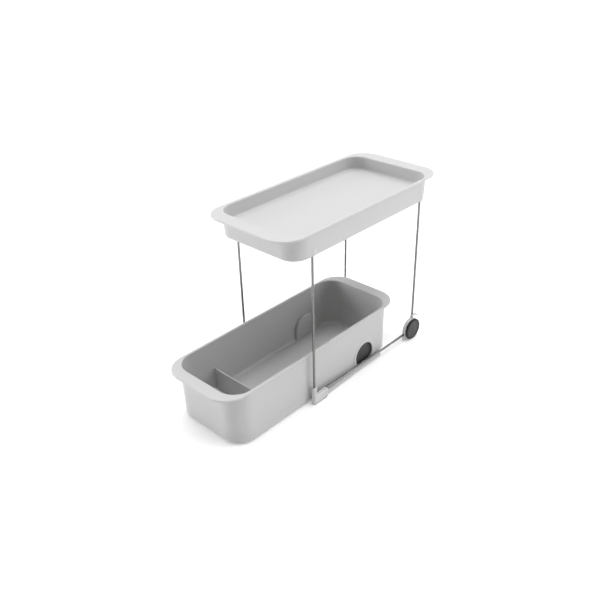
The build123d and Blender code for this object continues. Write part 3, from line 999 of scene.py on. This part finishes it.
def make_housings():
    """The rear wheel housings: rounded cheeks, a post socket, a rail socket and a small tail."""
    for side, sign in SIDES:
        centre = wheel_place("rear", side)[0]
        x, y, post_foot, _ = post_place("rear", side)
        rail_x, rail_z, _, rail_rear = rail_place(side)
        low, high = node_box(f"rear_wheel_housing_{side}")
        inner, outer = sorted((abs(low.x), abs(high.x)))
        place = facing_out(sign, centre)
        outline = housing_outline(HOUSING_RADIUS, TOE_LEVEL, low.z - centre.z)
        cheek = new_piece(f"housing_{side}", pad_solid(outline, inner, outer, 1.6, 1.2, place))
        add(cheek, pad_solid(circle_outline(POST_BOSS_RADIUS), centre.z + POST_BOSS_START, high.z,
                             0.2, 0.8, standing(x, y)))
        start, height = y - centre.y, TAIL_TOP - centre.z
        tail_outline = rounded_corners([
            (start, height - TAIL_THICKNESS, 0),
            (TAIL_END, height - TAIL_DROP - TAIL_THICKNESS, TAIL_CORNER),
            (TAIL_END, height - TAIL_DROP, TAIL_CORNER),
            (start + TAIL_BEND, height - 0.9, TAIL_BEND), (start, height, 0)], 6)
        add(cheek, pad_solid(tail_outline, inner + TAIL_INSET, outer - TAIL_INSET,
                             TAIL_INSET, TAIL_INSET, place))
        cut(cheek, pad_solid(circle_outline(WIRE_HOLE), post_foot - HOLE_END_GAP, high.z + HOLE_OVERRUN,
                             0.1, 0.1, standing(x, y)))
        add(cheek, pad_solid(circle_outline(COLLAR_RADIUS), low.y + 0.1, low.y + COLLAR_LENGTH,
                             0.8, 0.3, lying(rail_x, rail_z)))
        cut(cheek, pad_solid(circle_outline(WIRE_HOLE), low.y - HOLE_OVERRUN, rail_rear + HOLE_END_GAP,
                             0.1, 0.1, lying(rail_x, rail_z)))
        cut(cheek, pad_solid(circle_outline(AXLE_HOLE), inner - 2, outer + 2, 0.1, 0.1, place))
        clean(cheek, FITTING_ANGLE)
        finish_piece(cheek, "frame", "fittings", fitting_plastic, f"rear_wheel_housing_{side}")


# ---------------------------------------------------------------- wheels
TYRE_DEPTH = 3.4
TYRE_EDGE = 1.3
TREAD_SINK = 0.3
TREAD_COUNT = 72
TREAD_BAR = (0.9, 0.8)
TREAD_SET_IN = 0.15
DISC_BORE = 2.55
CAP_DEPTH = 0.9
PIN_RADIUS = 2.5
PIN_HEAD = 1.3
PIN_DEPTH_IN_WELL = 0.9


def disc_profile(width, rim):
    """(depth, radius) points round a disc: a rolled rim, a dished face and a cap over the pin."""
    cap = width - CAP_DEPTH
    return [(0, DISC_BORE), (0, rim - 3), (0.4, rim - 2.4), (0.4, rim - 0.4), (0.6, rim - 0.15),
            (width - 0.5, rim - 0.05), (width - 0.15, rim - 0.45), (width, rim - 0.9),
            (width - 0.05, rim - 2.2), (width - 0.5, rim - 2.9), (width - 0.68, rim - 3.8),
            (width - 0.6, rim * 0.6), (width - 0.52, rim * 0.44),
            (width - 0.4, rim * 0.40), (width - 0.35, rim * 0.36), (width - 0.62, 5.5),
            (width - 0.6, 4.9), (width - 0.42, 4.4), (width - 0.34, 2.6), (width - 0.3, 0),
            (cap, 0), (cap, 4.6), (width - 2.4, 4.8), (width - 2.4, DISC_BORE)]


def tyre_profile(width, rim, tread):
    """(depth, radius) points round a tyre with rounded shoulders and a slight crown."""
    shoulder = quarter(TYRE_EDGE, 5, 90, 0)
    points = [(0.15, rim + 0.02), (0.05, rim + 0.6), (0.0, rim + 1.2)]
    points += [(inset, tread - drop) for inset, drop in shoulder]
    points += [(width / 2, tread + 0.12)]
    points += [(width - inset, tread - drop) for inset, drop in reversed(shoulder)]
    return points + [(width, rim + 1.2), (width - 0.05, rim + 0.6), (width - 0.15, rim + 0.02)]


def pin_profile(length):
    """(depth, radius) points along an axle pin with a domed head."""
    neck = length - PIN_HEAD
    return [(0, 0), (0, 2.2), (0.3, PIN_RADIUS), (neck, PIN_RADIUS), (neck, 4.0), (neck + 0.4, 4.35),
            (length - 0.5, 4.2), (length - 0.15, 3.4), (length - 0.05, 1.8), (length, 0)]


def make_wheels():
    """Discs with a stepped face, tyres with fine tread bars, and domed axle pins."""
    for group, carrier in (("rear", "frame"), ("drawer", "drawer")):
        for side, sign in SIDES:
            centre, radius, inner_x, outer_x = wheel_place(group, side)
            width = abs(outer_x) - abs(inner_x)
            rim, tread = radius - TYRE_DEPTH, radius - TREAD_SINK
            start = Vector((inner_x, centre.y, centre.z))
            body = f"{group}_wheel_{side}"
            disc = new_piece(f"{body}_disc", lathe_x(disc_profile(width, rim), start, sign), 28)
            finish_piece(disc, body, "wheel_plastic", wheel_plastic, f"{group}_wheel_disc_{side}")
            tyre = new_piece(f"{body}_tyre",
                             lathe_x(tyre_profile(width, rim, tread), start, sign, 128), 40)
            finish_piece(tyre, body, "tyre", tyre_rubber, f"{group}_tyre_{side}")
            bars = grown_by_nodes(f"{body}_tread", TREAD, {
                "Count": TREAD_COUNT,
                "Radius": (tread - TREAD_SET_IN) * MM,
                "Centre": Vector((start.x + sign * width / 2, centre.y, centre.z)) * MM,
                "Bar size": Vector((width - 2 * TYRE_EDGE, *TREAD_BAR)) * MM,
                "Material": tyre_rubber,
            })
            finish_piece(bars, body, "tyre", tyre_rubber)
            pin_low, pin_high = node_box(f"{group}_axle_{side}")
            pin_in, pin_out = sorted((abs(pin_low.x), abs(pin_high.x)))
            if group == "drawer":
                pin_in += PIN_DEPTH_IN_WELL
            pin_start = Vector((sign * pin_in, centre.y, centre.z))
            pin = new_piece(f"{group}_pin_{side}",
                            lathe_x(pin_profile(pin_out - pin_in), pin_start, sign, 64), 30)
            finish_piece(pin, carrier, "axle_steel", pin_steel, f"{group}_axle_{side}")


def make_glides():
    """Rubber glides under the drawer's front keep their plain turned shape."""
    for side, _ in SIDES:
        paint_node(f"drawer_glide_{side}", pad_rubber)


# ---------------------------------------------------------------- camera, lights and floor
CAMERA_AZIMUTH = 43.66
CAMERA_ELEVATION = 30.06
CAMERA_ROLL = -1.49
CAMERA_DISTANCE = 1394.7
CAMERA_LENS = 42.75
CAMERA_AIM = Vector((-40.8, -39.0, 125.0))
WHITE = (1.0, 1.0, 1.0, 1.0)
FLOOR_COLOUR = (0.84, 0.84, 0.84, 1.0)
FLOOR_HALF = 30000
FLOOR_ROUGHNESS = 0.9
# metres from the middle of the floor where its painted glow starts and stops rising, and its strengths
# there; the floor is painted darker near the object
GLOW_DISTANCES = (0.3, 3.0)
GLOW_LEVELS = (0.2, 0.75)
DARK_SIDE = 40.0
# how squarely the sky faces the dark side where it starts and ends dimming, and its strengths there
SKY_TURN = (0.15, 1.0)
SKY_LEVELS = (0.5, 0.05)
LIGHT_TARGET = (0.0, 0.05, 0.15)
# name, position and size in metres, power in watts
SOFT_BOXES = (
    ("overhead_box", (0.1, 0.3, 2.4), (2.6, 2.6), 70),
    ("right_box", (1.9, 1.7, 1.0), (1.4, 1.6), 22),
    ("left_box", (-2.2, -1.6, 0.9), (1.4, 1.6), 46),
)


def aim(obj, position, back, roll=0.0):
    """Stand an object at a position with its local z along back."""
    right = Vector((0, 0, 1)).cross(back).normalized()
    up = back.cross(right)
    turn = math.radians(roll)
    across = right * math.cos(turn) + up * math.sin(turn)
    upright = up * math.cos(turn) - right * math.sin(turn)
    matrix = Matrix((across, upright, back)).transposed().to_4x4()
    matrix.translation = position
    obj.matrix_world = matrix


def make_camera():
    """The view from the right, in front and above."""
    azimuth, elevation = math.radians(CAMERA_AZIMUTH), math.radians(CAMERA_ELEVATION)
    back = Vector((math.sin(azimuth) * math.cos(elevation),
                   -math.cos(azimuth) * math.cos(elevation), math.sin(elevation)))
    data = bpy.data.cameras.new("camera")
    data.sensor_width = 36.0
    data.lens = CAMERA_LENS
    data.clip_end = 100.0
    camera = bpy.data.objects.new("camera", data)
    bpy.context.scene.collection.objects.link(camera)
    target = CAMERA_AIM + Vector((0, TRAY_Y, 0))
    aim(camera, (target + back * CAMERA_DISTANCE) * MM, back, CAMERA_ROLL)
    bpy.context.scene.camera = camera


def area_light(name, position, target, size, power):
    """A large soft box pointing at the object."""
    data = bpy.data.lights.new(name, "AREA")
    data.shape = "RECTANGLE"
    data.size, data.size_y = size
    data.energy = power
    light = bpy.data.objects.new(name, data)
    bpy.context.scene.collection.objects.link(light)
    position, target = Vector(position), Vector(target)
    aim(light, position, (position - target).normalized())


def make_sky():
    """Even white light from all round, dimmer on the side that the near walls face."""
    world = bpy.data.worlds.new("studio_world")
    world.use_nodes = True
    tree = world.node_tree
    light = tree.nodes["Background"]
    light.inputs["Color"].default_value = WHITE
    coords = tree.nodes.new("ShaderNodeTexCoord")
    dark = math.radians(DARK_SIDE)
    facing = new_node(tree, "ShaderNodeVectorMath", {
        0: coords.outputs["Object"], 1: (math.sin(dark), -math.cos(dark), 0.0)}, "DOT_PRODUCT")
    level = map_range(tree, facing.outputs["Value"], SKY_TURN, SKY_LEVELS, smooth=True)
    tree.links.new(level, light.inputs["Strength"])
    backdrop = new_node(tree, "ShaderNodeBackground", {"Color": WHITE})
    seen = tree.nodes.new("ShaderNodeLightPath")
    blend = new_node(tree, "ShaderNodeMixShader", {
        0: seen.outputs["Is Camera Ray"], 1: light.outputs[0], 2: backdrop.outputs[0]})
    tree.links.new(blend.outputs[0], tree.nodes["World Output"].inputs["Surface"])
    bpy.context.scene.world = world


def make_floor():
    """A white floor with painted light: it glows a little more the further it is from the object, so it
    is painted darker near the object.
    """
    bm = bmesh.new()
    bmesh.ops.create_grid(bm, x_segments=8, y_segments=8, size=FLOOR_HALF)
    floor = new_piece("studio_floor", bm)
    material, tree, shader, vector = start_material("studio_white", FLOOR_ROUGHNESS)
    shader.inputs["Specular IOR Level"].default_value = 0.1
    tone = place_group(tree, DRIFT, vector, Colour=FLOOR_COLOUR, Tone_amount=0.01,
                       Roughness=FLOOR_ROUGHNESS, Gloss_amount=0.02, Scale=1.0)
    tree.links.new(tone["Colour"], shader.inputs["Base Color"])
    distance = new_node(tree, "ShaderNodeVectorMath", {0: vector}, "LENGTH")
    # painted light: the floor's emission, weakest near the object
    glow = map_range(tree, distance.outputs["Value"], GLOW_DISTANCES, GLOW_LEVELS, smooth=True)
    shader.inputs["Emission Color"].default_value = WHITE
    tree.links.new(glow, shader.inputs["Emission Strength"])
    floor.data.materials.append(material)


def make_studio():
    """The floor, the sky and three soft boxes."""
    make_floor()
    make_sky()
    for name, position, size, power in SOFT_BOXES:
        area_light(name, position, LIGHT_TARGET, size, power)
    bpy.context.scene.view_settings.view_transform = "Standard"
    bpy.context.scene.view_settings.look = "None"


make_camera()
make_studio()
make_top_tray()
make_drawer()
make_window_surrounds()
make_divider()
make_runners()
make_wire()
make_feet()
make_housings()
make_wheels()
make_glides()
